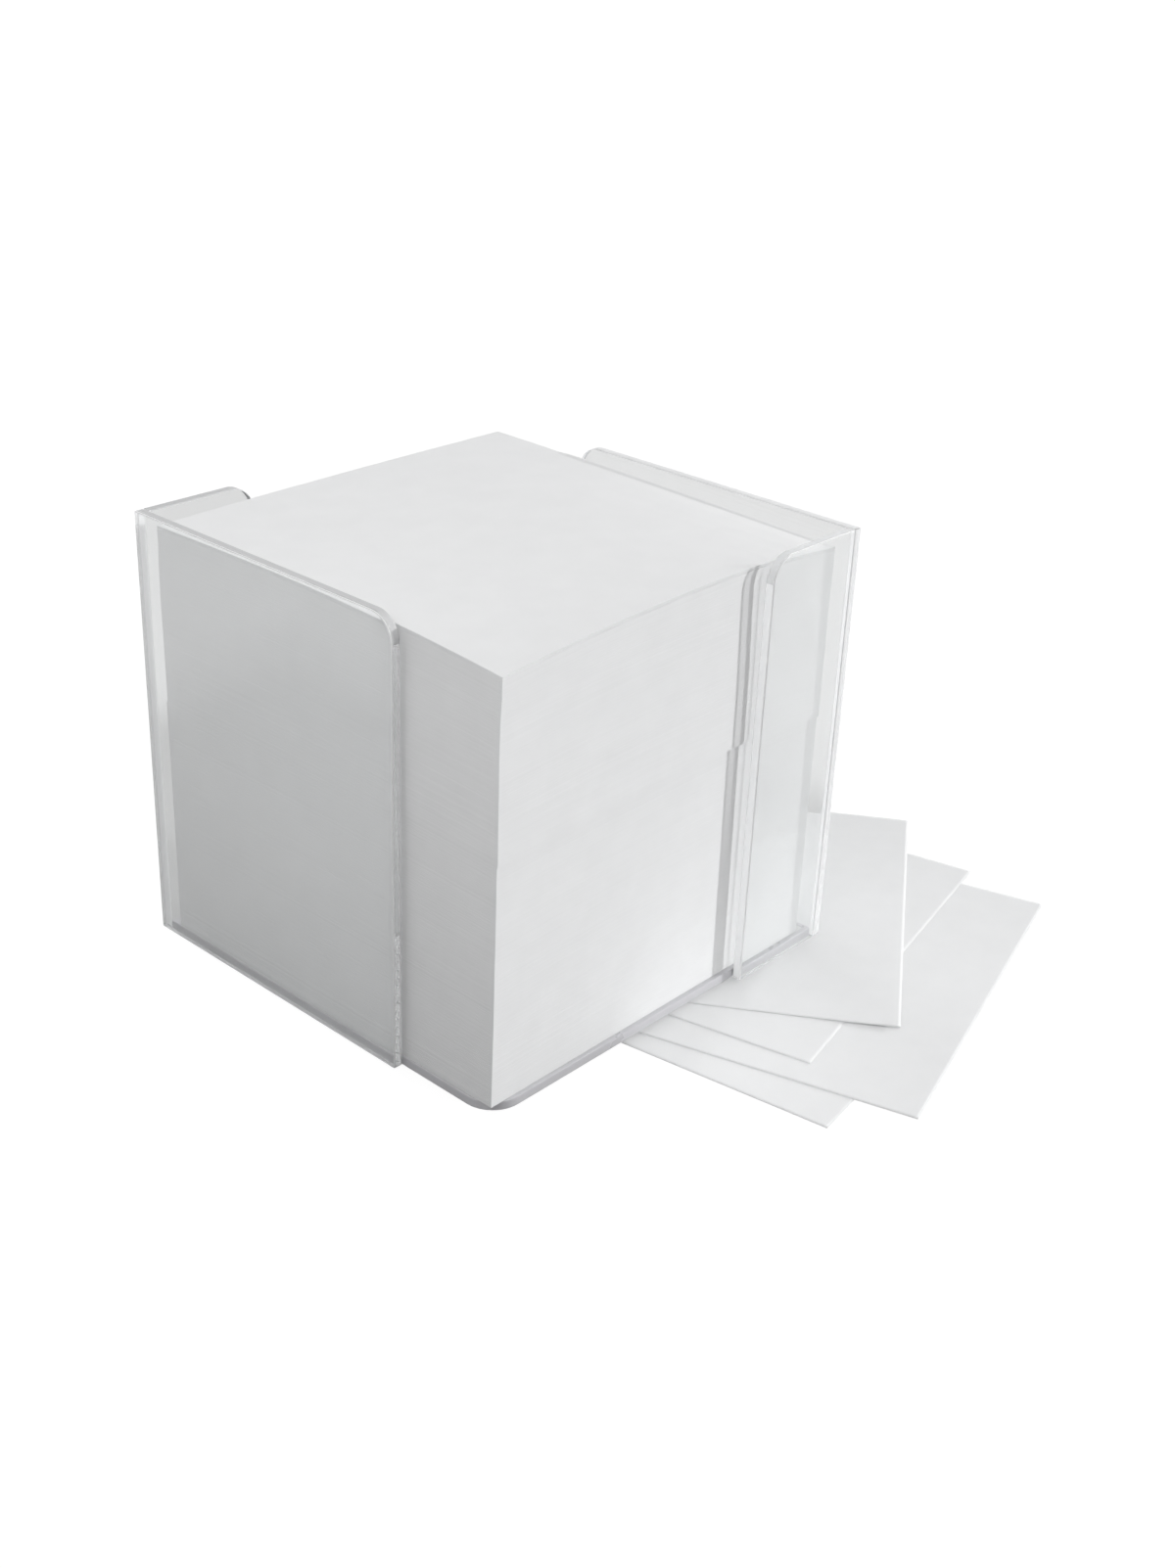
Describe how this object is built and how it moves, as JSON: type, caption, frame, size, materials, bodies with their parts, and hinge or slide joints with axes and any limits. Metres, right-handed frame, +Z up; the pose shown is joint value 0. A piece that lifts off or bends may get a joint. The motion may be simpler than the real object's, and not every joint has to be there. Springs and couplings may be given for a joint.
{
  "type": "memo pad holder",
  "caption": "Clear acrylic memo pad holder: welded plates with two open corners round a stack of square note sheets, with loose sheets fanned out under the base.",
  "frame": {"origin": "centre of the holder's underside; the loose sheets lie just below it, on the desk", "axes": "+Z up; the long walls stand on the -X and +X sides, the short walls on the +Y and -Y sides; the loose sheets fan out towards +X and -Y"},
  "size_m": [0.1558, 0.1503, 0.0917],
  "materials": {
    "clear_acrylic": "clear, polished faces and edges",
    "note_paper": "uncoated white note paper with cut edges"
  },
  "bodies": {
    "holder": {"base_plate": "clear_acrylic", "left_long_wall": "clear_acrylic", "left_short_wall": "clear_acrylic", "right_long_wall": "clear_acrylic", "right_short_wall": "clear_acrylic"},
    "lower_sheets": {"lower_sheets": "note_paper"},
    "upper_sheets": {"upper_sheets": "note_paper"},
    "top_sheet_1": {"top_sheet_1": "note_paper"},
    "top_sheet_2": {"top_sheet_2": "note_paper"},
    "top_sheet_3": {"top_sheet_3": "note_paper"},
    "top_sheet_4": {"top_sheet_4": "note_paper"},
    "top_sheet_5": {"top_sheet_5": "note_paper"},
    "top_sheet_6": {"top_sheet_6": "note_paper"},
    "loose_sheet_1": {"loose_sheet_1": "note_paper"},
    "loose_sheet_2": {"loose_sheet_2": "note_paper"},
    "loose_sheet_3": {"loose_sheet_3": "note_paper"},
    "loose_sheet_4": {"loose_sheet_4": "note_paper"}
  },
  "joints": [
    {"name": "lower_sheets_lift", "type": "slide", "parent": "holder", "child": "lower_sheets", "axis": [0, 0, 1], "range_m": [0, 0.095]},
    {"name": "upper_sheets_lift", "type": "slide", "parent": "lower_sheets", "child": "upper_sheets", "axis": [0, 0, 1], "range_m": [0, 0.045]},
    {"name": "top_sheet_1_lift", "type": "slide", "parent": "upper_sheets", "child": "top_sheet_1", "axis": [0, 0, 1], "range_m": [0, 0.02]},
    {"name": "top_sheet_2_lift", "type": "slide", "parent": "top_sheet_1", "child": "top_sheet_2", "axis": [0, 0, 1], "range_m": [0, 0.02]},
    {"name": "top_sheet_3_lift", "type": "slide", "parent": "top_sheet_2", "child": "top_sheet_3", "axis": [0, 0, 1], "range_m": [0, 0.02]},
    {"name": "top_sheet_4_lift", "type": "slide", "parent": "top_sheet_3", "child": "top_sheet_4", "axis": [0, 0, 1], "range_m": [0, 0.02]},
    {"name": "top_sheet_5_lift", "type": "slide", "parent": "top_sheet_4", "child": "top_sheet_5", "axis": [0, 0, 1], "range_m": [0, 0.02]},
    {"name": "top_sheet_6_lift", "type": "slide", "parent": "top_sheet_5", "child": "top_sheet_6", "axis": [0, 0, 1], "range_m": [0, 0.02]},
    {"name": "loose_sheet_1_draw", "type": "slide", "parent": "holder", "child": "loose_sheet_1", "axis": [0.1478, -0.989, 0], "range_m": [0, 0.08]},
    {"name": "loose_sheet_2_draw", "type": "slide", "parent": "holder", "child": "loose_sheet_2", "axis": [0.2807, -0.9598, 0], "range_m": [0, 0.08]},
    {"name": "loose_sheet_3_draw", "type": "slide", "parent": "holder", "child": "loose_sheet_3", "axis": [0.2215, -0.9751, 0], "range_m": [0, 0.08]},
    {"name": "loose_sheet_4_draw", "type": "slide", "parent": "holder", "child": "loose_sheet_4", "axis": [0.549, -0.8358, 0], "range_m": [0, 0.08]}
  ]
}
